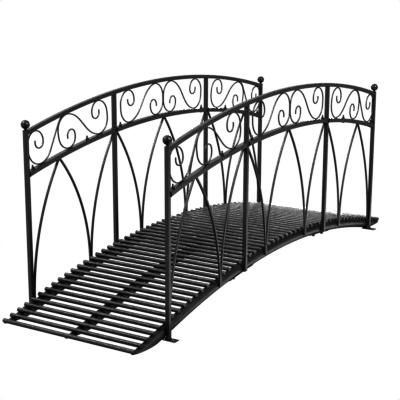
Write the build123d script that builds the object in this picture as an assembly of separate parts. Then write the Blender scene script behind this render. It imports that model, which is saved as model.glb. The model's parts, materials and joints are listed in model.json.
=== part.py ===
from build123d import *
import math
import os

# Driving dimensions, in millimetres

# Layout
post_spacing = 2084        # end post to end post along a railing, centre to centre
lancet_count = 5           # pointed arches along a railing
railing_gauge = 720        # between the centre planes of the two railings
arch_rise = 130            # rise of every arched member over the post spacing
deck_crest = 178           # top of the deck tubes at midspan
guard_height = 541         # clear between the deck tubes and the middle rail
frieze_height = 162        # clear between the middle rail and the top rail

# Posts, rails and finials
post_width = 18
post_reveal = 3            # end post above the end of the top rail
top_rail_width = 18
top_rail_depth = 18
mid_rail_width = 24
mid_rail_depth = 20
ball_diameter = 38
neck_diameter = 12
neck_height = 6

# Deck
tube_diameter = 43         # the two stringers and the centre bearer
bend_length = 1924         # arched part of a tube along X: its ends run out straight to the ground
section_gap = 0.5          # butt joint between the lengths of the centre bearer
slat_diameter = 18
slat_length = 674
slat_pitch = 47            # about: the slats share their length of the tubes evenly
slat_end_inset = 8         # axis of the last slat back from the tubes' tip
splice_length = 200
splice_thickness = 3
splice_cover = 8           # how far a splice saddle reaches up round the tube

# Feet
foot_width = 32
foot_length = 76
foot_thickness = 3
foot_toe = 32              # foot plate beyond the post's outer face
foot_hole = 9
foot_clearance = 0.5       # tube cut back from the foot plate

# Lancet bars
lancet_bar = 8
lancet_foot_share = 0.5    # height of a bar's foot on the stringer, from its top

# Scrolls
scroll_bar = 5             # square bar
weld_gap = 0.3             # a bar or slat off the face that carries it
scroll_room = 42           # between a middle post and the S scroll beside it
curl_outer_share = 0.428   # S scroll: radii and straight runs of its curls, as shares of the frieze height
curl_back_share = 0.398
curl_inner_share = 0.295
curl_drop_share = 0.024
curl_tip_share = 0.163
curl_end_share = 0.054
end_foot_share = 0.434     # end scroll: the same, from the middle rail up beside the post and into its curl
end_head_share = 0.307
end_inner_share = 0.301
end_drop_share = 0.018
stem_foot_share = 0.542

overrun = 20               # how far cutting shapes pass what they cut

# Places worked out from the driving dimensions
end_x = post_spacing / 2
lancet_pitch = post_spacing / lancet_count
mid_x = lancet_pitch
mid_unit = lancet_count - 2   # half lancets from the left end post to the left middle post
plane_y = railing_gauge / 2
railing_face = plane_y - post_width / 2   # inner faces of the posts and lancet bars
tube_radius = tube_diameter / 2
stringer_y = railing_face - weld_gap - tube_radius
arch_radius = (end_x**2 + arch_rise**2) / (2 * arch_rise)
mid_rail_crest = deck_crest + guard_height + mid_rail_depth
top_rail_crest = mid_rail_crest + frieze_height + top_rail_depth


def arch_z(x, crest, inward=0):
    """Height at x of an arched edge that lies inward of a member's top edge."""
    return crest - arch_radius + math.sqrt((arch_radius - inward) ** 2 - x**2)


bend_x = bend_length / 2
bend_turn = math.asin(bend_x / arch_radius)
arc_run = arch_radius * bend_turn
straight_end = arch_z(bend_x, deck_crest) / math.sin(bend_turn)
tip_x = bend_x + straight_end * math.cos(bend_turn)
reach = tip_x + overrun
end_post_top = arch_z(end_x, top_rail_crest) + post_reveal


def block(x0, x1, y0, y1, z0, z1):
    """A box between two corners."""
    centre = Pos((x0 + x1) / 2, (y0 + y1) / 2, (z0 + z1) / 2)
    return centre * Box(x1 - x0, y1 - y0, z1 - z0)


def arched_edge(crest, inward):
    """The curve of an arched edge from one end of the bridge to the other."""
    end = arch_z(reach, crest, inward)
    return ThreePointArc((-reach, end), (0, crest - inward), (reach, end))


def arched_slab(low_edge, high_edge, y0, y1):
    """The solid between two arched edges, each given as a crest and an inward offset."""
    low = arched_edge(*low_edge)
    high = arched_edge(*high_edge)
    sides = [Line(low @ 0, high @ 0), Line(low @ 1, high @ 1)]
    face = Plane.XZ * make_face(Curve() + [low, high] + sides)
    return Pos(0, y0, 0) * extrude(face, y1 - y0, dir=(0, 1, 0))


def between(shape, x0, x1, floor=False):
    """The length of a shape from x0 to x1, cut off at ground level if it has a floor."""
    box = shape.bounding_box()
    low = 0 if floor else box.min.Z - overrun
    return shape & block(x0, x1, box.min.Y - overrun, box.max.Y + overrun, low, box.max.Z + overrun)


def to_right(shape):
    return mirror(shape, about=Plane.YZ)


def to_near(shape):
    return mirror(shape, about=Plane.XZ)


# Posts, feet and finials

def foot_plate():
    """A plate under the left end post, with its toe and anchor hole outside the railing."""
    toe = plane_y + post_width / 2 + foot_toe
    plate = block(-end_x - foot_width / 2, -end_x + foot_width / 2, toe - foot_length, toe, 0, foot_thickness)
    hole = Cylinder(foot_hole / 2, foot_thickness + 2 * overrun)
    return plate - Pos(-end_x, toe - foot_toe / 2, 0) * hole


def end_post():
    half = post_width / 2
    return block(-end_x - half, -end_x + half, plane_y - half, plane_y + half, foot_thickness, end_post_top)


def finial():
    """A ball on a short neck, on top of the left end post."""
    radius = ball_diameter / 2
    sunk = math.sqrt(radius**2 - (neck_diameter / 2) ** 2)
    centre = neck_height + sunk
    neck = Pos(0, 0, centre / 2) * Cylinder(neck_diameter / 2, centre)
    return Pos(-end_x, plane_y, end_post_top) * (neck + Pos(0, 0, centre) * Sphere(radius))


def mid_post():
    """A post outside the stringer, from its lower edge to the underside of the top rail."""
    half = post_width / 2
    low, high = (deck_crest, tube_diameter), (top_rail_crest, top_rail_depth)
    wall = arched_slab(low, high, plane_y - half, plane_y + half)
    return between(wall, -mid_x - half, -mid_x + half)


# Rails

def rail(crest, width, depth):
    return arched_slab((crest, depth), (crest, 0), plane_y - width / 2, plane_y + width / 2)


def top_rails():
    """The top rail over the middle posts: left and middle length."""
    whole = rail(top_rail_crest, top_rail_width, top_rail_depth)
    return between(whole, -end_x + post_width / 2, -mid_x), between(whole, -mid_x, mid_x)


def mid_rails():
    """The middle rail between the posts: left and middle length."""
    whole = rail(mid_rail_crest, mid_rail_width, mid_rail_depth)
    left = between(whole, -end_x + post_width / 2, -mid_x - post_width / 2)
    return left, between(whole, -mid_x + post_width / 2, mid_x - post_width / 2)


# Deck

def deck_point(run, rise):
    """The point a run along the tubes' top edge from midspan, and a rise above it."""
    turn = max(-bend_turn, min(bend_turn, run / arch_radius))
    straight = run - turn * arch_radius
    height = arch_radius + rise
    x = height * math.sin(turn) + straight * math.cos(turn)
    return Vector(x, deck_crest - arch_radius + height * math.cos(turn) - straight * math.sin(turn))


def deck_z(x):
    """Height at x of the tubes' top edge."""
    if abs(x) < bend_x:
        return arch_z(x, deck_crest)
    return (tip_x - abs(x)) * math.tan(bend_turn)


def deck_tube(radius):
    """A round bar along the axis of the deck tubes: an arch with straight ends that pass the ground."""
    end_run = arc_run + straight_end + overrun
    tip, bend, crest, far_bend, far_tip = [
        deck_point(run, -tube_radius) for run in (-end_run, -arc_run, 0, arc_run, end_run)]
    path = Plane.XZ * (Curve() + [Line(tip, bend), ThreePointArc(bend, crest, far_bend), Line(far_bend, far_tip)])
    return sweep(Plane(path @ 0, z_dir=path % 0) * Circle(radius), path=path)


def stringer():
    """A tube beside the railing, cut back from the foot plates."""
    foot = foot_plate().bounding_box()
    room = block(foot.min.X - foot_clearance, foot.max.X + foot_clearance, foot.min.Y - foot_clearance,
                 foot.max.Y, 0, foot_thickness + foot_clearance)
    return Pos(0, stringer_y, 0) * deck_tube(tube_radius) - room - to_right(room)


def splice_plate():
    """A saddle under the stringer, across the joint at the left middle post."""
    inner = tube_radius + weld_gap
    outer = inner + splice_thickness
    low = (deck_crest, tube_radius + outer + overrun)
    under = arched_slab(low, (deck_crest, tube_diameter - splice_cover), -outer - overrun, outer + overrun)
    saddle = (deck_tube(outer) - deck_tube(inner)) & under
    return Pos(0, stringer_y, 0) * between(saddle, -mid_x - splice_length / 2, -mid_x + splice_length / 2)


def centre_bearer():
    """A tube under the middle of the slats, in three lengths."""
    tube = deck_tube(tube_radius)
    left = between(tube, -reach, -mid_x - section_gap, floor=True)
    middle = between(tube, -mid_x, mid_x)
    return [left, middle, to_right(left)]


def slats():
    """Round slats across the deck, evenly spaced along the tubes: left, middle and right."""
    radius = slat_diameter / 2
    last_run = arc_run + straight_end - slat_end_inset
    per_side = round(last_run / slat_pitch)
    groups = {"left": [], "middle": [], "right": []}
    for place in range(-per_side, per_side + 1):
        axis = deck_point(place * last_run / per_side, weld_gap + radius)
        bay = "left" if axis.X < -mid_x else "right" if axis.X > mid_x else "middle"
        groups[bay].append(Pos(axis.X, 0, axis.Y) * Rot(90, 0, 0) * Cylinder(radius, slat_length))
    return groups


# Lancets

def lancet(unit):
    """One curved bar, upright at its foot on the stringer and leaning to its apex under the middle rail.

    Units count half lancets from the left end post: feet stand at even units, and apexes at odd ones.
    """
    half_lancet = lancet_pitch / 2
    side = -1 if unit % 2 else 1
    foot_unit = unit + unit % 2
    apex_unit = foot_unit + side
    foot_line = -end_x + foot_unit * half_lancet
    apex_line = -end_x + apex_unit * half_lancet
    half = lancet_bar / 2
    foot_x = foot_line + side * ((post_width / 2 if foot_unit == 0 else 0) + weld_gap + half)
    stop_x = apex_line - side * ((post_width / 2 if apex_unit == mid_unit else 0) + weld_gap / 2)
    foot_z = deck_z(foot_line) - tube_diameter * lancet_foot_share
    rise = arch_z(apex_line, mid_rail_crest, mid_rail_depth) - foot_z
    run = abs(stop_x - foot_x) - half
    bend = (run**2 + rise**2) / (2 * run)
    ring = Pos(foot_x + side * bend, foot_z) * (Circle(bend + half) - Circle(bend - half))
    x0, x1 = sorted((foot_x - side * half, stop_x))
    window = Pos((x0 + x1) / 2, foot_z + rise) * Rectangle(x1 - x0, 2 * rise)
    bar = extrude(Plane.XZ * (ring & window), lancet_bar, dir=(0, 1, 0))
    under_rail = arched_slab((deck_crest, tube_diameter), (mid_rail_crest, mid_rail_depth), 0, lancet_bar)
    return Pos(0, railing_face, 0) * (bar & under_rail)


# Scrolls

half_bar = scroll_bar / 2
scroll_length = lancet_pitch - post_width / 2 - scroll_room
mid_centre = Vector(0, mid_rail_crest - arch_radius)
top_centre = Vector(0, top_rail_crest - arch_radius)
low_seat = arch_radius + weld_gap + half_bar
high_seat = arch_radius - top_rail_depth - weld_gap - half_bar
curl_outer = curl_outer_share * frieze_height
curl_back = curl_back_share * frieze_height
curl_inner = curl_inner_share * frieze_height
curl_drop = curl_drop_share * frieze_height
curl_tip = curl_tip_share * frieze_height
curl_end = curl_end_share * frieze_height
end_foot = end_foot_share * frieze_height
end_head = end_head_share * frieze_height
end_inner = end_inner_share * frieze_height
end_drop = end_drop_share * frieze_height
stem_foot = stem_foot_share * frieze_height


def heading(angle):
    return Vector(math.cos(math.radians(angle)), math.sin(math.radians(angle)))


def bend_run(start, angle, moves):
    """A path of straights and tangent arcs: a move is (length, 0) or (radius, turn in degrees)."""
    edges = []
    for size, turn in moves:
        if turn:
            edges.append(JernArc(start, heading(angle), size, turn))
        else:
            edges.append(Line(start, start + heading(angle) * size))
        start = edges[-1] @ 1
        angle += turn
    return edges


def unwound(start, angle, moves):
    """The same path from its far end: its start, its heading and its moves."""
    far_end = bend_run(start, angle, moves)[-1] @ 1
    far_angle = angle + 180 + sum(turn for size, turn in moves)
    return far_end, far_angle, [(size, -turn) for size, turn in reversed(moves)]


def bar_edge(start, angle, moves, offset):
    """The path moved sideways by an offset, to the left where it is positive."""
    shifted = [(size - offset * math.copysign(1, turn) if turn else size, turn) for size, turn in moves]
    return bend_run(start + heading(angle + 90) * offset, angle, shifted)


def bent_bar(start, angle, moves):
    """Square bar along a path in the railing's plane."""
    left = bar_edge(start, angle, moves, half_bar)
    right = bar_edge(start, angle, moves, -half_bar)
    ends = [Line(left[0] @ 0, right[0] @ 0), Line(left[-1] @ 1, right[-1] @ 1)]
    face = Plane.XZ * make_face(Curve() + left + right + ends)
    return Pos(0, plane_y - half_bar, 0) * extrude(face, scroll_bar, dir=(0, 1, 0))


def seated(x, rail_centre, distance):
    """The point at x that lies a distance from a rail's centre, and the rail's slope there in degrees."""
    return Vector(x, rail_centre.Y + math.sqrt(distance**2 - x**2)), -math.degrees(math.asin(x / distance))


def shoulder(left_x):
    """Centre of the upper arc of the S scroll that starts at left_x, and the top rail's slope there."""
    return seated(left_x + weld_gap / 2 + half_bar + curl_outer, top_centre, high_seat - curl_outer)


def back_length(centre, slope, way, rail_centre, distance):
    """Straight back of a curl, down (way 1) or up (way -1) to the arc that touches the other rail."""
    offset = centre - rail_centre
    side = offset.dot(heading(slope)) - way * (curl_outer - curl_back)
    return way * (offset.dot(heading(slope + 90)) - math.sqrt(distance**2 - side**2))


def curl(first_turn, back):
    """The moves of an S scroll's spiral end, from the stem to the tip."""
    spiral = [(curl_outer, first_turn), (back, 0), (curl_back, 90), (curl_inner, 90)]
    return spiral + [(curl_drop, 0), (curl_tip, 180), (curl_end, 0)]


def s_scroll(left_x):
    """An S scroll from left_x: one curl under the top rail, one on the middle rail, and a straight stem."""
    high, high_slope = shoulder(left_x)
    low_x = left_x + scroll_length - weld_gap / 2 - half_bar - curl_outer
    low, low_slope = seated(low_x, mid_centre, low_seat + curl_outer)
    high_back = back_length(high, high_slope, 1, mid_centre, low_seat + curl_back)
    low_back = back_length(low, low_slope, -1, top_centre, high_seat - curl_back)
    span = low - high
    lean = math.degrees(math.atan2(span.Y, span.X) - math.asin(2 * curl_outer / span.length))
    stem = math.sqrt(span.length**2 - (2 * curl_outer) ** 2)
    stem_top = high + heading(lean + 90) * curl_outer
    tip, angle, upper = unwound(stem_top, lean + 180, curl(90 + high_slope - lean, high_back))
    return bent_bar(tip, angle, upper + [(stem, 0)] + curl(90 + low_slope - lean, low_back))


def end_scroll(next_x):
    """The scroll beside the left end post: a curl against the post, and a stem that ends on the
    shoulder of the S scroll that starts at next_x."""
    side_x = -end_x + post_width / 2 + weld_gap + half_bar
    foot_centre, foot_slope = seated(side_x + end_foot, mid_centre, low_seat + end_foot)
    head_centre, head_slope = seated(side_x + end_head, top_centre, high_seat - end_head)
    spiral = [(end_foot, -90 - foot_slope), (head_centre.Y - foot_centre.Y, 0), (end_head, head_slope - 90),
              (end_inner, -90 - head_slope), (end_drop, 0), (curl_tip, -180), (curl_end, 0)]
    up = heading(foot_slope + 90)
    foot = foot_centre - up * end_foot
    centre, slope = shoulder(next_x)
    ride = curl_outer + scroll_bar + weld_gap
    bends = stem_foot + ride
    span = centre - foot - up * stem_foot
    lean = math.degrees(math.atan2(span.Y, span.X) + math.asin(bends / span.length))
    run = math.sqrt(span.length**2 - bends**2)
    depth = high_seat - curl_outer
    tip_lean = slope + math.degrees(math.acos((high_seat**2 - depth**2 - ride**2) / (2 * depth * ride)))
    stem = [(stem_foot, lean - foot_slope), (run, 0), (ride, tip_lean - lean)]
    tip, angle, curl_moves = unwound(foot, foot_slope + 180, spiral)
    return bent_bar(tip, angle, curl_moves + stem)


# Assembly: the far railing is built, and the near one mirrors it

scroll_starts = [-end_x + unit * lancet_pitch / 2 for unit in range(1, mid_unit, 2)]
left_scrolls = [end_scroll(scroll_starts[0])] + [s_scroll(start) for start in scroll_starts]
inner_scroll = s_scroll(0)
bars = [lancet(unit) for unit in range(lancet_count)]
inner_lancets = bars[mid_unit:]
whole_stringer = stringer()
left_top_rail, middle_top_rail = top_rails()
left_mid_rail, middle_mid_rail = mid_rails()

mirrored = {
    "end_post": end_post(),
    "mid_post": mid_post(),
    "top_rail": left_top_rail,
    "mid_rail": left_mid_rail,
    "scrolls": Compound(left_scrolls),
    "lancets": Compound(bars[:mid_unit]),
    "stringer": between(whole_stringer, -reach, -mid_x, floor=True),
}
central = {
    "top_rail": middle_top_rail,
    "mid_rail": middle_mid_rail,
    "scrolls": Compound([to_right(inner_scroll), inner_scroll]),
    "lancets": Compound(inner_lancets + [to_right(bar) for bar in inner_lancets]),
    "stringer": between(whole_stringer, -mid_x, mid_x),
}
pairs = {
    "finials": finial(),
    "foot_plates": foot_plate(),
    "splice_plates": splice_plate(),
}

far_side = {"middle_" + name: shape for name, shape in central.items()}
for name, shape in mirrored.items():
    far_side["left_" + name] = shape
    far_side["right_" + name] = to_right(shape)
for name, shape in pairs.items():
    far_side[name] = Compound([shape, to_right(shape)])

nodes = {"centre_bearer": Compound(centre_bearer())}
for bay, rods in slats().items():
    nodes[bay + "_slats"] = Compound(rods)
for name, shape in far_side.items():
    nodes["far_" + name] = shape
    nodes["near_" + name] = to_near(shape)

os.makedirs("parts", exist_ok=True)
for name, shape in nodes.items():
    export_step(shape, "parts/" + name + ".step")
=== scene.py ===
import bmesh
import bpy
import json
import math
from collections import namedtuple
from mathutils import Matrix, Vector
from mathutils.bvhtree import BVHTree


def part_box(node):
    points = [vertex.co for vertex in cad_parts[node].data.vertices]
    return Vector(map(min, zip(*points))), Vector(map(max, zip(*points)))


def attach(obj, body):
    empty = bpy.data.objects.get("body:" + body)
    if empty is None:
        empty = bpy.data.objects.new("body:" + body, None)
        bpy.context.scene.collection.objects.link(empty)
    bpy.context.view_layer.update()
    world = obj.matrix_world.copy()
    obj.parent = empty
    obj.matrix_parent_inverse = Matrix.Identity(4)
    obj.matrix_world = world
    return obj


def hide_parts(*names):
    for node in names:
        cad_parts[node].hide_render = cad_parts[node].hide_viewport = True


# An arched garden bridge: its CAD nodes get rounded edges and paint, and this script adds fasteners, welds,
# scroll bars and middle posts, a white studio and the photo's camera

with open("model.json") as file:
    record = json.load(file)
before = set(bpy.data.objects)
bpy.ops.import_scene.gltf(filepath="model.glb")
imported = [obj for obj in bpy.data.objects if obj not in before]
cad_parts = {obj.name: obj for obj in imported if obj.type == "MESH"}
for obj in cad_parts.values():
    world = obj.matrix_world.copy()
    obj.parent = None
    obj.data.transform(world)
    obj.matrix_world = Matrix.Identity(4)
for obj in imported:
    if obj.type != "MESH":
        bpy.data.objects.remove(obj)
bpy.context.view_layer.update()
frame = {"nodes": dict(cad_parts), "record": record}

# Words that the names of nodes are made of
SIDES = ("near", "far")
ENDS = ("left", "right")
BAYS = ("left", "middle", "right")

# Camera, solved from the photo: place in metres, angles in degrees, focal length in pixels of the image
IMAGE_WIDTH_PX = 400
SENSOR_MM = 36
CAMERA_PLACE = Vector((-4.1911, -2.4591, 1.4597))
CAMERA_AZIMUTH = 58.22
CAMERA_DIP = 13.10
CAMERA_ROLL = 0.159
FOCAL_PX = 995.3

# Stage, in metres: it takes no light from the lamps, its white comes from its glow alone
FLOOR_HALF = 60.0
BACKDROP_RADIUS = 50.0
BACKDROP_SEGMENTS = 48
BLACK, WHITE = (0, 0, 0, 1), (1, 1, 1, 1)
STAGE_ROUGHNESS = 0.9
STAGE_GLOW = 1.0
VIEW_TRANSFORM = "Raw"     # so that a pixel which a thin bar half covers is half way to the stage's white

# Pale walls of a dark room: edge and core as cosines off the direction, and the heights between which
# a wall fades in, as sines
Wall = namedtuple("Wall", "direction edge core level low high")
ROOM_LEVEL = 0.25
WALLS = [
    Wall((0.62, -0.77, -0.14), 0.80, 0.98, 1.7, -0.60, -0.20),    # near side, to the right
    Wall((0.92, 0.38, -0.08), 0.965, 0.99, 4.0, -0.25, -0.15),    # beyond the right end, low
    Wall((-0.83, 0.51, -0.20), 0.60, 0.95, 2.2, -0.70, -0.40),    # beyond the left end
    Wall((-0.20, 0.30, 0.93), 0.40, 0.95, 1.6, 0.0, 0.2),         # above
    Wall((0.72, 0.52, 0.45), 0.90, 0.99, 2.5, 0.2, 0.4),          # beyond the right end, high
]

# Rectangular lamps: metres, watts, and the spread in degrees
Lamp = namedtuple("Lamp", "name place target width height power spread")
LAMPS = [
    Lamp("key", (-0.8, -4.2, 3.6), (0, 0, 0.4), 2.4, 1.8, 620, 180),
    Lamp("left", (-2.6, 2.6, 4.2), (0, 0, 0.4), 2.0, 2.0, 350, 180),
    Lamp("far_end", (2.6, 1.3, 0.50), (0.6, 0, 0.12), 1.6, 0.6, 6.0, 40),
    Lamp("floor_card", (0.4, -0.95, 0.002), (0.4, -0.95, 1.0), 2.6, 1.1, 24, 180),
]

# Paint: tones and roughness that vary between two values, and a grain with its width and depth in millimetres
MM = 0.001
RAIL_SLOT, ORNAMENT_SLOT, DECK_SLOT = "rail_paint", "ornament_paint", "deck_paint"
Paint = namedtuple("Paint", "name dark light satin matt grain depth")
PAINTS = {
    RAIL_SLOT: Paint(
        "rail_coat", (0.012, 0.012, 0.013), (0.019, 0.019, 0.020), 0.34, 0.46, 1.6, 0.10),
    ORNAMENT_SLOT: Paint(
        "ornament_coat", (0.011, 0.011, 0.012), (0.018, 0.018, 0.019), 0.36, 0.50, 1.3, 0.10),
    DECK_SLOT: Paint(
        "deck_coat", (0.013, 0.013, 0.014), (0.023, 0.022, 0.022), 0.36, 0.52, 1.8, 0.12),
}
PAINT_IOR = 1.5
CLOUDS = {"Scale": 9.0, "Detail": 6.0, "Roughness": 0.6}        # noise of the tone
SMEARS = {"Scale": 38.0, "Detail": 4.0, "Roughness": 0.55}      # noise of the gloss
PEEL = {"Detail": 2.0, "Roughness": 0.5}                        # noise of the grain
CLOUD_STOPS = 0.35, 0.68
SMEAR_STOPS = 0.3, 0.7
PEEL_STRENGTH = 0.35

# Edges and curved faces of the CAD nodes, in metres
WELD_DISTANCE = 0.00002
SMOOTH_ANGLE = math.radians(38)
BEVEL_ANGLE = math.radians(40)
BEVEL_SEGMENTS = 2
TUBE_ROUND = 0.0016        # outside corner of the square tubes
BAR_ROUND = 0.0006         # edges of solid bars
PLATE_ROUND = 0.0005       # edges of plates and of cut tubes
SLAT_ROUND = 0.0008        # end of a slat
ROUNDS = {                 # by the last word of a node's name
    "post": TUBE_ROUND,
    "rail": TUBE_ROUND,
    "lancets": BAR_ROUND,
    "stringer": PLATE_ROUND,
    "plates": PLATE_ROUND,
    "bearer": PLATE_ROUND,
    "slats": SLAT_ROUND,
}

# Places on the CAD nodes, in metres
MID_POST_RISE = 0.013      # of the feet of the middle posts, from those of the part
RAY_START = 3.0            # height over or under the ground from which rays look for faces
SLAT_APART = 0.01          # points further apart along the span belong to two slats

# Fasteners, in millimetres as rising rings: height over the face, radius or half width, hexagonal or not
RING_POINTS = 24
HEXAGON_SIDE = math.radians(60)
WASHER_AND_NUT = [
    (-1.6, 6.2, False), (1.0, 6.2, False), (1.2, 5.9, False), (1.2, 4.7, True), (1.6, 5.0, True),
    (5.5, 5.0, True), (6.1, 4.8, False), (6.1, 3.0, False),
]
BOLT_HEAD = [(-0.3, 4.7, True), (0.3, 5.0, True), (1.6, 5.0, True), (2.0, 4.7, False)]
THREAD_CREST, THREAD_ROOT, THREAD_STEP = 3.0, 2.6, 0.5
STUD_TIP, STUD_CHAMFER = 2.1, 0.6     # radius of a stud's tip, and the height of its chamfer
RAIL_STUD, SPLICE_STUD = 13.6, 7.1    # height at which the thread ends
BOLT_SCALE = 1.3                      # the rings are those of an M6 bolt, the bolts are M8
RAIL_BOLT_X = (1.002, 0.625, 0.367)   # in metres, from the middle of the span to both sides
SPLICE_BOLT_SHARE = 0.25              # from the plate's middle, as a share of its length

# Weld beads, in metres, with shares of a bead's radius
BEAD_POINTS = 8                       # round a bead
BEAD_RIPPLE_SHARE, BEAD_RIPPLE_STEP = 0.14, 2.1      # the step in radians, from point to point along a bead
BEAD_TAPER_SHARE = 0.35               # what an open end keeps
SLAT_BEAD, SLAT_BEAD_HALF, SLAT_BEAD_STEPS = 0.0021, 0.0065, 7    # radius, half the length, points along it
SLAT_BEAD_OFF_SHARE = 0.6             # from the contact, as a share of the slat's radius
RAIL_BEAD, RAIL_BEAD_STEPS = 0.0014, 6               # radius, points along each side of the rail

# Railing that the scrolls are fitted into, in millimetres as in the part
POST_SPACING, LANCET_COUNT, POST_WIDTH = 2084, 5, 18
ARCH_RADIUS = 4241.0
MID_RAIL_CREST, TOP_RAIL_CREST, TOP_RAIL_DEPTH = 739, 919, 18
FRIEZE_HEIGHT = TOP_RAIL_CREST - TOP_RAIL_DEPTH - MID_RAIL_CREST
LANCET_PITCH = POST_SPACING / LANCET_COUNT
END_POST_FACE = (POST_WIDTH - POST_SPACING) / 2

# Scroll bars, in millimetres: a square bar with eased edges, and arcs that follow the frieze height
HALF_BAR, BAR_EASE = 2.5, 0.6
HALF_FLAT = HALF_BAR - BAR_EASE
BAR_SECTION = [
    (HALF_BAR, HALF_FLAT), (HALF_BAR, -HALF_FLAT), (HALF_FLAT, -HALF_BAR), (-HALF_FLAT, -HALF_BAR),
    (-HALF_BAR, -HALF_FLAT), (-HALF_BAR, HALF_FLAT), (-HALF_FLAT, HALF_BAR), (HALF_FLAT, HALF_BAR),
]
WELD_GAP = 0.3
SCROLL_ROOM = 42                      # between a middle post and the S scroll beside it
SCROLL_LENGTH = LANCET_PITCH - POST_WIDTH / 2 - SCROLL_ROOM
LEFT_SCROLL, MIDDLE_SCROLL = -2 * LANCET_PITCH, 0    # where the S scrolls of these bays start
LOW_SEAT = ARCH_RADIUS + WELD_GAP + HALF_BAR                      # from the centre of the middle rail's arch
HIGH_SEAT = ARCH_RADIUS - TOP_RAIL_DEPTH - WELD_GAP - HALF_BAR    # from the centre of the top rail's
CURL_SHARES = 0.428, 0.398, 0.295, 0.024, 0.163, 0.054    # radii and straights of an S scroll's curls
CURL_OUTER, CURL_BACK, CURL_INNER, CURL_DROP, CURL_TIP, CURL_END = (
    share * FRIEZE_HEIGHT for share in CURL_SHARES)
END_SHARES = 0.434, 0.307, 0.301, 0.018, 0.542            # those of the scroll beside an end post
END_FOOT, END_HEAD, END_INNER, END_DROP, STEM_FOOT = (share * FRIEZE_HEIGHT for share in END_SHARES)
STEM_EASE = 26                        # degrees of each arc that the S-shaped stem takes over
STEM_PULL_SHARE = 0.40                # length of the stem's handles, as a share of its length
STEM_STEPS = 24
ARC_STEP, FEWEST_STEPS = 5, 2         # about how many degrees of an arc lie between points


# Materials

def add_node(tree, kind, **values):
    """A node with its input sockets set by name."""
    node = tree.nodes.new(kind)
    for name, value in values.items():
        node.inputs[name.replace("_", " ")].default_value = value
    return node


def powder_coat(paint):
    """Satin black powder coat: cloudy tone, uneven gloss and fine orange peel."""
    material = bpy.data.materials.new(paint.name)
    material.use_nodes = True
    tree = material.node_tree
    link = tree.links.new
    shader = tree.nodes["Principled BSDF"]
    shader.inputs["IOR"].default_value = PAINT_IOR
    place = tree.nodes.new("ShaderNodeTexCoord")

    clouds = add_node(tree, "ShaderNodeTexNoise", **CLOUDS)
    link(place.outputs["Object"], clouds.inputs["Vector"])
    tone = tree.nodes.new("ShaderNodeValToRGB")
    for stop, position, colour in zip(tone.color_ramp.elements, CLOUD_STOPS, (paint.dark, paint.light)):
        stop.position = position
        stop.color = (*colour, 1)
    link(clouds.outputs["Fac"], tone.inputs["Fac"])
    link(tone.outputs["Color"], shader.inputs["Base Color"])

    smears = add_node(tree, "ShaderNodeTexNoise", **SMEARS)
    link(place.outputs["Object"], smears.inputs["Vector"])
    low, high = SMEAR_STOPS
    gloss = add_node(tree, "ShaderNodeMapRange", From_Min=low, From_Max=high,
                     To_Min=paint.satin, To_Max=paint.matt)
    link(smears.outputs["Fac"], gloss.inputs["Value"])
    link(gloss.outputs["Result"], shader.inputs["Roughness"])

    peel = add_node(tree, "ShaderNodeTexNoise", Scale=1 / (paint.grain * MM), **PEEL)
    link(place.outputs["Object"], peel.inputs["Vector"])
    bump = add_node(tree, "ShaderNodeBump", Strength=PEEL_STRENGTH, Distance=paint.depth * MM)
    link(peel.outputs["Fac"], bump.inputs["Height"])
    link(bump.outputs["Normal"], shader.inputs["Normal"])
    return material


COATS = {slot: powder_coat(paint) for slot, paint in PAINTS.items()}


# Dressing of the CAD nodes: rounded edges, smooth curved faces and paint

def smoothing_group():
    """Smooth shading with sharp edges kept, as a modifier so that no mesh changes."""
    group = bpy.data.node_groups.new("smooth_by_angle", "GeometryNodeTree")
    group.interface.new_socket("Geometry", in_out="INPUT", socket_type="NodeSocketGeometry")
    group.interface.new_socket("Geometry", in_out="OUTPUT", socket_type="NodeSocketGeometry")
    start = group.nodes.new("NodeGroupInput")
    end = group.nodes.new("NodeGroupOutput")
    faces = group.nodes.new("GeometryNodeSetShadeSmooth")
    faces.domain = "FACE"
    edges = group.nodes.new("GeometryNodeSetShadeSmooth")
    edges.domain = "EDGE"
    edges.inputs["Shade Smooth"].default_value = False
    angle = group.nodes.new("GeometryNodeInputMeshEdgeAngle")
    sharp = group.nodes.new("FunctionNodeCompare")
    sharp.operation = "GREATER_THAN"
    sharp.inputs["B"].default_value = SMOOTH_ANGLE
    link = group.links.new
    link(start.outputs[0], faces.inputs["Geometry"])
    link(faces.outputs["Geometry"], edges.inputs["Geometry"])
    link(angle.outputs["Unsigned Angle"], sharp.inputs["A"])
    link(sharp.outputs["Result"], edges.inputs["Selection"])
    link(edges.outputs["Geometry"], end.inputs[0])
    return group


SMOOTHING = smoothing_group()


def dress(node, slot):
    """Rounds the edges of a CAD node, or of a copy, smooths its curved faces and paints it."""
    weld = node.modifiers.new("weld", "WELD")
    weld.merge_threshold = WELD_DISTANCE
    width = next((size for word, size in ROUNDS.items() if node.name.endswith(word)), None)
    if width:
        bevel = node.modifiers.new("round", "BEVEL")
        bevel.width = width
        bevel.segments = BEVEL_SEGMENTS
        bevel.limit_method = "ANGLE"
        bevel.angle_limit = BEVEL_ANGLE
    smooth = node.modifiers.new("smooth", "NODES")
    smooth.node_group = SMOOTHING
    even = node.modifiers.new("even", "WEIGHTED_NORMAL")
    even.keep_sharp = True
    node.data.materials.clear()
    node.data.materials.append(COATS[slot])


for part in frame["record"]["subparts"]:
    dress(frame["nodes"][part["node"]], part["material_slot"])


# Pieces of the bridge, and places on its CAD nodes

def skin(shape, loops, closed=False):
    """Faces between successive loops of points, with a face over each end of an open row."""
    pairs = list(zip(loops, loops[1:])) + ([(loops[-1], loops[0])] if closed else [])
    for low, high in pairs:
        for step, point in enumerate(low):
            after = (step + 1) % len(low)
            shape.faces.new((point, low[after], high[after], high[step]))
    if not closed:
        shape.faces.new(loops[0][::-1])
        shape.faces.new(loops[-1])


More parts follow.
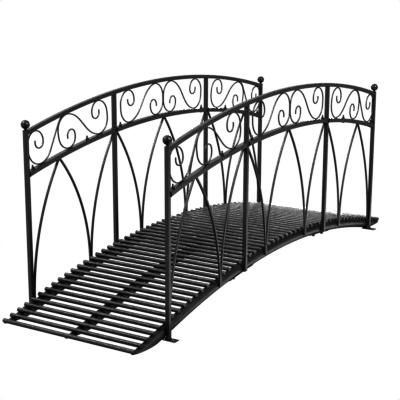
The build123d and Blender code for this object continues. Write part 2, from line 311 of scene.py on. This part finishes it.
def add_piece(name, shape, slot):
    """A finished shape as a painted piece of the bridge."""
    bmesh.ops.recalc_face_normals(shape, faces=shape.faces)
    mesh = bpy.data.meshes.new(name)
    shape.to_mesh(mesh)
    shape.free()
    mesh.materials.append(COATS[slot])
    piece = bpy.data.objects.new(name, mesh)
    bpy.context.scene.collection.objects.link(piece)
    piece.modifiers.new("smooth", "NODES").node_group = SMOOTHING
    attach(piece, "root")
    return piece


def chord(points, number):
    """From the point before to the point after, or from or to the point itself at an end of the row."""
    return points[min(number + 1, len(points) - 1)] - points[max(number - 1, 0)]


def surface(node):
    """The faces of a CAD node, to find points on."""
    mesh = frame["nodes"][node].data
    return BVHTree.FromPolygons([v.co for v in mesh.vertices], [p.vertices for p in mesh.polygons])


def face_at(faces, x, y, way):
    """Point and outward normal on the upper face (way 1) or the lower face (way -1)."""
    point, normal, _, _ = faces.ray_cast(Vector((x, y, way * RAY_START)), Vector((0, 0, -way)))
    return point, normal if normal.z * way > 0 else -normal


def bay_of(x, side):
    """The bay of a railing that a place along the span lies in."""
    low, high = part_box(f"{side}_middle_mid_rail")
    return "left" if x < low[0] else "right" if x > high[0] else "middle"


# Middle posts

def raise_mid_posts(side):
    """Middle posts whose feet end higher beside the tube than those of the part, as in the photo."""
    for end in ENDS:
        node = f"{side}_{end}_mid_post"
        low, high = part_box(node)
        shape = bmesh.new()
        shape.from_mesh(frame["nodes"][node].data)
        bmesh.ops.remove_doubles(shape, verts=shape.verts, dist=WELD_DISTANCE)
        for corner in shape.verts:
            if corner.co.z < (low[2] + high[2]) / 2:
                corner.co.z += MID_POST_RISE
        post = add_piece(f"{side}_{end}_raised_post", shape, RAIL_SLOT)
        dress(post, RAIL_SLOT)
        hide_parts(node)


# Fasteners, each set on the face of the CAD node that carries it

def ring_reach(angle, size, hexagonal):
    """Distance of a ring from its axis at an angle, round or hexagonal."""
    if not hexagonal:
        return size
    return size / math.cos((angle + HEXAGON_SIDE / 2) % HEXAGON_SIDE - HEXAGON_SIDE / 2)


def add_turned(shape, point, normal, rings):
    """A fastener that stands on a face, from rings along the face's normal."""
    along = Vector((0, 1, 0)).cross(normal).normalized()
    across = normal.cross(along)
    loops = []
    for height, size, hexagonal in rings:
        loop = []
        for step in range(RING_POINTS):
            angle = math.tau * step / RING_POINTS
            spoke = along * math.cos(angle) + across * math.sin(angle)
            offset = normal * height + spoke * ring_reach(angle, size, hexagonal)
            loop.append(shape.verts.new(point + offset * MM * BOLT_SCALE))
        loops.append(loop)
    skin(shape, loops)


def nut_and_stud(thread_end):
    """Rings of a washer, a nut and the threaded end of the bolt."""
    rings = list(WASHER_AND_NUT)
    height = rings[-1][0]
    crest = False
    while height < thread_end:
        height += THREAD_STEP
        rings.append((height, THREAD_CREST if crest else THREAD_ROOT, False))
        crest = not crest
    return rings + [(height + STUD_CHAMFER, STUD_TIP, False)]


def rail_bolts(side):
    """Bolts down through the middle rail, nut and stud on top, head below."""
    low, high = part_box(f"{side}_middle_mid_rail")
    y = (low[1] + high[1]) / 2
    shape = bmesh.new()
    for reach in RAIL_BOLT_X:
        for x in (-reach, reach):
            rail = surface(f"{side}_{bay_of(x, side)}_mid_rail")
            add_turned(shape, *face_at(rail, x, y, 1), nut_and_stud(RAIL_STUD))
            add_turned(shape, *face_at(rail, x, y, -1), BOLT_HEAD)
    add_piece(f"{side}_rail_bolts", shape, RAIL_SLOT)


def splice_bolts(side):
    """Nuts and bolt ends under the splice plates, two a plate."""
    node = f"{side}_splice_plates"
    low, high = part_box(node)
    y = (low[1] + high[1]) / 2
    plate = surface(node)
    shape = bmesh.new()
    for way in (-1, 1):
        places = [v.co.x for v in frame["nodes"][node].data.vertices if v.co.x * way > 0]
        middle, length = (min(places) + max(places)) / 2, max(places) - min(places)
        for share in (-SPLICE_BOLT_SHARE, SPLICE_BOLT_SHARE):
            add_turned(shape, *face_at(plate, middle + share * length, y, -1), nut_and_stud(SPLICE_STUD))
    add_piece(f"{side}_splice_bolts", shape, DECK_SLOT)


# Welds

def add_bead(shape, path, upright, radius, closed=False):
    """A rippled weld bead along a path, thin at open ends; upright stands square to the path."""
    last = len(path) - 1
    loops = []
    for step, place in enumerate(path):
        before = path[step - 1] if step or closed else place
        after = path[(step + 1) % len(path)] if step < last or closed else place
        across = (after - before).normalized().cross(upright).normalized()
        size = radius * (1 + BEAD_RIPPLE_SHARE * math.sin(step * BEAD_RIPPLE_STEP))
        if not closed and step in (0, last):
            size *= BEAD_TAPER_SHARE
        loop = []
        for turn in range(BEAD_POINTS):
            angle = math.tau * turn / BEAD_POINTS
            spoke = upright * math.cos(angle) + across * math.sin(angle)
            loop.append(shape.verts.new(place + size * spoke))
        loops.append(loop)
    skin(shape, loops, closed)


def slat_middles():
    """Middle points of all slats from left to right, and a slat's radius."""
    places = sorted((v.co.x, v.co.z) for bay in BAYS for v in frame["nodes"][f"{bay}_slats"].data.vertices)
    groups = [[places[0]]]
    for place in places[1:]:
        if place[0] - groups[-1][-1][0] > SLAT_APART:
            groups.append([])
        groups[-1].append(place)
    middles = []
    for group in groups:
        heights = [z for _, z in group]
        middles.append(Vector(((group[0][0] + group[-1][0]) / 2, 0, (min(heights) + max(heights)) / 2)))
    return middles, (groups[0][-1][0] - groups[0][0][0]) / 2


def slat_welds():
    """Beads on both sides of each slat, over the crown of the tube that carries it."""
    middles, slat_radius = slat_middles()
    shape = bmesh.new()
    for tube in ("near_left_stringer", "far_left_stringer", "centre_bearer"):
        low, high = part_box(tube)
        y, tube_radius = (low[1] + high[1]) / 2, (high[1] - low[1]) / 2
        for number, middle in enumerate(middles):
            ahead = chord(middles, number).normalized()
            upright = ahead.cross(Vector((0, 1, 0)))
            upright *= math.copysign(1, upright.z)
            for way in (-1, 1):
                path = []
                for step in range(SLAT_BEAD_STEPS):
                    off = SLAT_BEAD_HALF * (2 * step / (SLAT_BEAD_STEPS - 1) - 1)
                    drop = slat_radius + tube_radius - math.sqrt(tube_radius ** 2 - off ** 2)
                    place = middle + way * SLAT_BEAD_OFF_SHARE * slat_radius * ahead - drop * upright
                    path.append(place + Vector((0, y + off, 0)))
                if min(place.z for place in path) > SLAT_BEAD:   # none at the tips, where the tube is cut off
                    add_bead(shape, path, upright, SLAT_BEAD)
    add_piece("slat_welds", shape, DECK_SLOT)


def rail_outline(side, x, beyond):
    """Points at x round the section that the middle rail has a little beyond."""
    node = f"{side}_{bay_of(beyond, side)}_mid_rail"
    rail = surface(node)
    near, far = (corner[1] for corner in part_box(node))
    top, bottom = (face_at(rail, beyond, (near + far) / 2, way)[0].z for way in (1, -1))
    section = (near, bottom), (far, bottom), (far, top), (near, top)
    corners = [Vector((x, y, z)) for y, z in section]
    path = []
    for start, stop in zip(corners, corners[1:] + corners[:1]):
        path += [start.lerp(stop, step / RAIL_BEAD_STEPS) for step in range(RAIL_BEAD_STEPS)]
    return path


def rail_welds(side):
    """Beads round the ends of the middle rail, on the faces of the posts."""
    shape = bmesh.new()
    for end in ENDS:
        for post in ("end", "mid"):
            low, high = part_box(f"{side}_{end}_{post}_post")
            inner = high[0] if end == "left" else low[0]
            for x in ((inner,) if post == "end" else (low[0], high[0])):
                beyond = x + math.copysign(RAIL_BEAD, x - (low[0] + high[0]) / 2)
                add_bead(shape, rail_outline(side, x, beyond), Vector((1, 0, 0)), RAIL_BEAD, closed=True)
    add_piece(f"{side}_rail_welds", shape, RAIL_SLOT)


# Scroll bars: points in the railing's plane are complex numbers, x and height

def heading(angle):
    """A direction in the railing's plane."""
    return complex(math.cos(math.radians(angle)), math.sin(math.radians(angle)))


def bend_run(start, angle, moves):
    """Points along straights and tangent arcs: a move is (length, 0) or (radius, turn in degrees)."""
    points = [start]
    for size, turn in moves:
        if turn:
            centre = start + size * heading(angle + math.copysign(90, turn))
            arm = start - centre
            steps = max(FEWEST_STEPS, round(abs(turn) / ARC_STEP))
            points += [centre + arm * heading(turn * step / steps) for step in range(1, steps + 1)]
        else:
            points.append(start + size * heading(angle))
        start = points[-1]
        angle += turn
    return points


def seated(x, crest, distance):
    """The point at x that lies a distance from an arch's centre, and the arch's slope there in degrees."""
    height = crest - ARCH_RADIUS + math.sqrt(distance ** 2 - x ** 2)
    return complex(x, height), -math.degrees(math.asin(x / distance))


def shoulder(left_x):
    """Centre of the upper arc of the S scroll that starts at left_x, and the top rail's slope there."""
    x = left_x + WELD_GAP / 2 + HALF_BAR + CURL_OUTER
    return seated(x, TOP_RAIL_CREST, HIGH_SEAT - CURL_OUTER)


def back_length(centre, slope, way, crest, distance):
    """Straight back of a curl, down (way 1) or up (way -1) to the arc that touches the other rail."""
    offset = (centre - complex(0, crest - ARCH_RADIUS)) * heading(-slope)
    side = offset.real - way * (CURL_OUTER - CURL_BACK)
    return way * (offset.imag - math.sqrt(distance ** 2 - side ** 2))


def curl(first_turn, back):
    """The moves of a spiral end, from the stem to the tip."""
    return [(CURL_OUTER, first_turn), (back, 0), (CURL_BACK, 90), (CURL_INNER, 90), (CURL_DROP, 0),
            (CURL_TIP, 180), (CURL_END, 0)]


def s_stem(start, stop, lean):
    """Points between the ends of an S-shaped stem that leaves one and meets the other at the same lean."""
    pull = STEM_PULL_SHARE * abs(stop - start) * heading(lean)
    handles = start, start + pull, stop - pull, stop
    points = []
    for step in range(1, STEM_STEPS):
        share = step / STEM_STEPS
        left = 1 - share
        weights = left ** 3, 3 * share * left ** 2, 3 * share ** 2 * left, share ** 3
        points.append(sum(weight * handle for weight, handle in zip(weights, handles)))
    return points


def s_scroll(left_x):
    """Points of an S scroll: a curl under the top rail, an S-shaped stem and a curl on the middle rail."""
    high, high_slope = shoulder(left_x)
    low_x = left_x + SCROLL_LENGTH - WELD_GAP / 2 - HALF_BAR - CURL_OUTER
    low, low_slope = seated(low_x, MID_RAIL_CREST, LOW_SEAT + CURL_OUTER)
    high_back = back_length(high, high_slope, 1, MID_RAIL_CREST, LOW_SEAT + CURL_BACK)
    low_back = back_length(low, low_slope, -1, TOP_RAIL_CREST, HIGH_SEAT - CURL_BACK)
    span = low - high
    tangent = math.degrees(math.atan2(span.imag, span.real) - math.asin(2 * CURL_OUTER / abs(span)))
    lean = tangent + STEM_EASE
    arm = CURL_OUTER * heading(lean + 90)
    upper = bend_run(high + arm, lean + 180, curl(90 + high_slope - lean, high_back))
    lower = bend_run(low - arm, lean, curl(90 + low_slope - lean, low_back))
    return upper[::-1] + s_stem(upper[0], lower[0], lean) + lower


def end_scroll(next_x):
    """Points of the scroll beside the left end post, with a stem up to the shoulder of the next scroll."""
    side_x = END_POST_FACE + WELD_GAP + HALF_BAR
    foot_centre, foot_slope = seated(side_x + END_FOOT, MID_RAIL_CREST, LOW_SEAT + END_FOOT)
    head_centre, head_slope = seated(side_x + END_HEAD, TOP_RAIL_CREST, HIGH_SEAT - END_HEAD)
    spiral = [(END_FOOT, -90 - foot_slope), (head_centre.imag - foot_centre.imag, 0),
              (END_HEAD, head_slope - 90), (END_INNER, -90 - head_slope), (END_DROP, 0),
              (CURL_TIP, -180), (CURL_END, 0)]
    up = heading(foot_slope + 90)
    foot = foot_centre - up * END_FOOT
    centre, slope = shoulder(next_x)
    ride = CURL_OUTER + 2 * HALF_BAR + WELD_GAP
    span = centre - foot - up * STEM_FOOT
    lean = math.degrees(math.atan2(span.imag, span.real) + math.asin((STEM_FOOT + ride) / abs(span)))
    run = math.sqrt(abs(span) ** 2 - (STEM_FOOT + ride) ** 2)
    depth = HIGH_SEAT - CURL_OUTER
    tip_lean = slope + math.degrees(math.acos((HIGH_SEAT ** 2 - depth ** 2 - ride ** 2) / (2 * depth * ride)))
    stem = bend_run(foot, foot_slope, [(STEM_FOOT, lean - foot_slope), (run, 0), (ride, tip_lean - lean)])
    return bend_run(foot, foot_slope + 180, spiral)[::-1] + stem[1:]


def add_bent_bar(shape, points, y, mirror):
    """Square bar with eased edges along points in the railing's plane, mirrored along the span by -1."""
    loops = []
    for number, point in enumerate(points):
        ahead = chord(points, number)
        side = ahead / abs(ahead) * 1j
        loop = []
        for across, depth in BAR_SECTION:
            place = point + side * across
            loop.append(shape.verts.new((mirror * place.real * MM, y + depth * MM, place.imag * MM)))
        loops.append(loop)
    skin(shape, loops)


def scroll_bars(side):
    """The scrolls of a railing, in place of the CAD's, whose stems are straight."""
    low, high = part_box(f"{side}_middle_scrolls")
    y = (low[1] + high[1]) / 2
    outer = [end_scroll(LEFT_SCROLL), s_scroll(LEFT_SCROLL)]
    inner = s_scroll(MIDDLE_SCROLL)
    bays = {"left": [(path, 1) for path in outer], "right": [(path, -1) for path in outer],
            "middle": [(inner, 1), (inner, -1)]}
    for bay, bars in bays.items():
        shape = bmesh.new()
        for path, mirror in bars:
            add_bent_bar(shape, path, y, mirror)
        piece = add_piece(f"{side}_{bay}_scroll_bars", shape, ORNAMENT_SLOT)
        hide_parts(f"{side}_{bay}_scrolls")


for railing in SIDES:
    raise_mid_posts(railing)
    scroll_bars(railing)
    rail_bolts(railing)
    splice_bolts(railing)
    rail_welds(railing)
slat_welds()


# Stage, light and camera

def white_stage(name, shape, material):
    """A stage surface that only the camera sees, so that it neither lights the bridge nor mirrors in it."""
    mesh = bpy.data.meshes.new(name)
    shape.to_mesh(mesh)
    shape.free()
    mesh.materials.append(material)
    surround = bpy.data.objects.new(name, mesh)
    bpy.context.scene.collection.objects.link(surround)
    surround.visible_glossy = False
    surround.visible_diffuse = False
    surround.visible_shadow = False


def floor_and_backdrop():
    """A white floor and a white dome round it, as even as the photo's background."""
    material = bpy.data.materials.new("white_stage")
    material.use_nodes = True
    shader = material.node_tree.nodes["Principled BSDF"]
    shader.inputs["Base Color"].default_value = BLACK
    shader.inputs["Roughness"].default_value = STAGE_ROUGHNESS
    shader.inputs["Specular IOR Level"].default_value = 0.0
    shader.inputs["Emission Color"].default_value = WHITE
    shader.inputs["Emission Strength"].default_value = STAGE_GLOW
    ground = bmesh.new()
    bmesh.ops.create_grid(ground, x_segments=1, y_segments=1, size=FLOOR_HALF)
    white_stage("floor", ground, material)
    dome = bmesh.new()
    bmesh.ops.create_uvsphere(dome, u_segments=BACKDROP_SEGMENTS, v_segments=BACKDROP_SEGMENTS // 2,
                              radius=BACKDROP_RADIUS)
    white_stage("backdrop", dome, material)


def studio_walls():
    """Light from all round: a dark room with pale walls at the bridge's ends, on its near side and above."""
    world = bpy.data.worlds.new("studio")
    bpy.context.scene.world = world
    world.use_nodes = True
    tree = world.node_tree
    link = tree.links.new
    light = tree.nodes["Background"]
    light.inputs["Color"].default_value = WHITE
    place = tree.nodes.new("ShaderNodeTexCoord")
    axes = tree.nodes.new("ShaderNodeSeparateXYZ")
    link(place.outputs["Generated"], axes.inputs["Vector"])
    total = None
    for wall in WALLS:
        facing = tree.nodes.new("ShaderNodeVectorMath")
        facing.operation = "DOT_PRODUCT"
        facing.inputs[1].default_value = Vector(wall.direction).normalized()
        link(place.outputs["Generated"], facing.inputs[0])
        spread = add_node(tree, "ShaderNodeMapRange", From_Min=wall.edge, From_Max=wall.core,
                          To_Min=0.0, To_Max=wall.level)
        rise = add_node(tree, "ShaderNodeMapRange", From_Min=wall.low, From_Max=wall.high,
                        To_Min=0.0, To_Max=1.0)
        for step, source in ((spread, facing.outputs["Value"]), (rise, axes.outputs["Z"])):
            step.interpolation_type = "SMOOTHSTEP"
            link(source, step.inputs["Value"])
        lit = tree.nodes.new("ShaderNodeMath")
        lit.operation = "MULTIPLY_ADD"
        link(spread.outputs["Result"], lit.inputs[0])
        link(rise.outputs["Result"], lit.inputs[1])
        lit.inputs[2].default_value = ROOM_LEVEL
        if total:
            link(total, lit.inputs[2])
        total = lit.outputs["Value"]
    link(total, light.inputs["Strength"])


def softbox(lamp):
    """A rectangular area light that faces a point."""
    light = bpy.data.lights.new(lamp.name, "AREA")
    light.shape = "RECTANGLE"
    light.size = lamp.width
    light.size_y = lamp.height
    light.energy = lamp.power
    light.spread = math.radians(lamp.spread)
    stand = bpy.data.objects.new(lamp.name, light)
    stand.location = lamp.place
    stand.visible_camera = False
    stand.rotation_euler = (Vector(lamp.target) - Vector(lamp.place)).to_track_quat("-Z", "Y").to_euler()
    bpy.context.scene.collection.objects.link(stand)


def photo_camera():
    """The camera at the photo's place and angle."""
    turn, dip, roll = (math.radians(angle) for angle in (CAMERA_AZIMUTH, CAMERA_DIP, CAMERA_ROLL))
    ahead = Vector((math.sin(turn) * math.cos(dip), math.cos(turn) * math.cos(dip), -math.sin(dip)))
    level = Vector((math.cos(turn), -math.sin(turn), 0))
    above = level.cross(ahead)
    right = level * math.cos(roll) + above * math.sin(roll)
    up = above * math.cos(roll) - level * math.sin(roll)
    lens = bpy.data.cameras.new("camera")
    lens.sensor_width = SENSOR_MM
    lens.lens = FOCAL_PX / IMAGE_WIDTH_PX * SENSOR_MM
    lens.clip_end = 2 * FLOOR_HALF
    camera = bpy.data.objects.new("camera", lens)
    camera.matrix_world = Matrix.Translation(CAMERA_PLACE) @ Matrix((right, up, -ahead)).transposed().to_4x4()
    bpy.context.scene.collection.objects.link(camera)
    bpy.context.scene.camera = camera


floor_and_backdrop()
studio_walls()
for lamp in LAMPS:
    softbox(lamp)
photo_camera()
bpy.context.scene.view_settings.view_transform = VIEW_TRANSFORM
